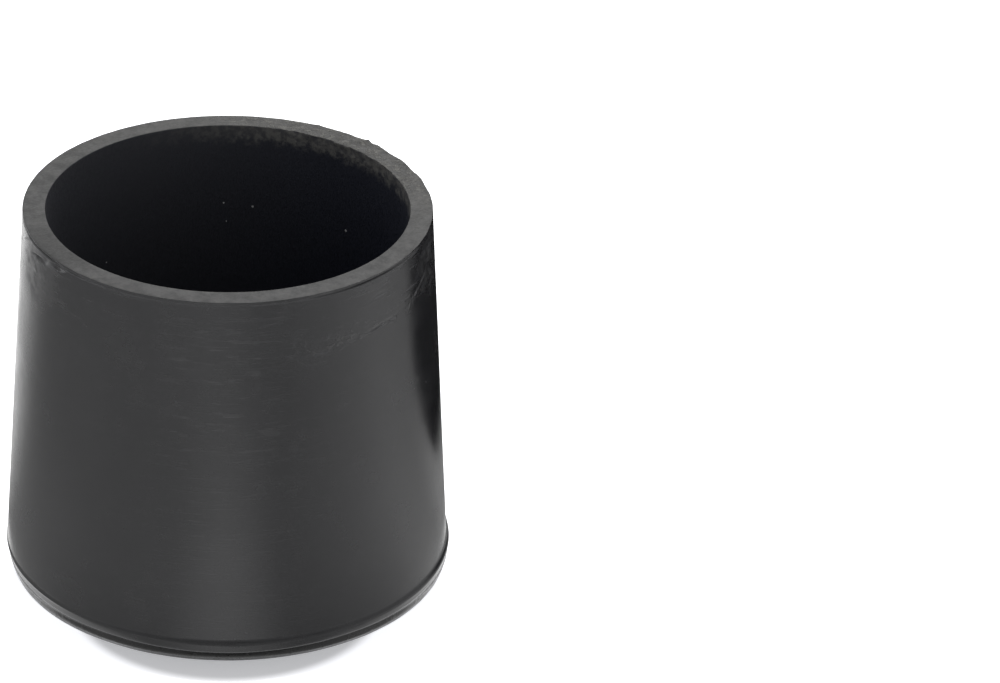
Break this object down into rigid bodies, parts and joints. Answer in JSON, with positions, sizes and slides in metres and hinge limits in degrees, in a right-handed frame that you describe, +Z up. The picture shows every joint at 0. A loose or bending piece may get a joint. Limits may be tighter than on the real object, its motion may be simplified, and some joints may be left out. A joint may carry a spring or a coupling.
{
  "type": "furniture leg cap",
  "caption": "Tapered black rubber cap that presses over the foot of a round furniture leg, with a plain blind socket and a stepped sole of round rings that grips and cushions the floor.",
  "frame": {"origin": "on the ground under the middle of the sole, at the centre of the flat tread ring", "axes": "+Z up the cap's axis of revolution, out of the socket's mouth; +X and +Y are any two square directions across it"},
  "size_m": [0.048, 0.048, 0.0434],
  "materials": {
    "rubber": "satin moulded black rubber"
  },
  "bodies": {
    "root": {"leg_cap": "rubber"}
  },
  "joints": []
}
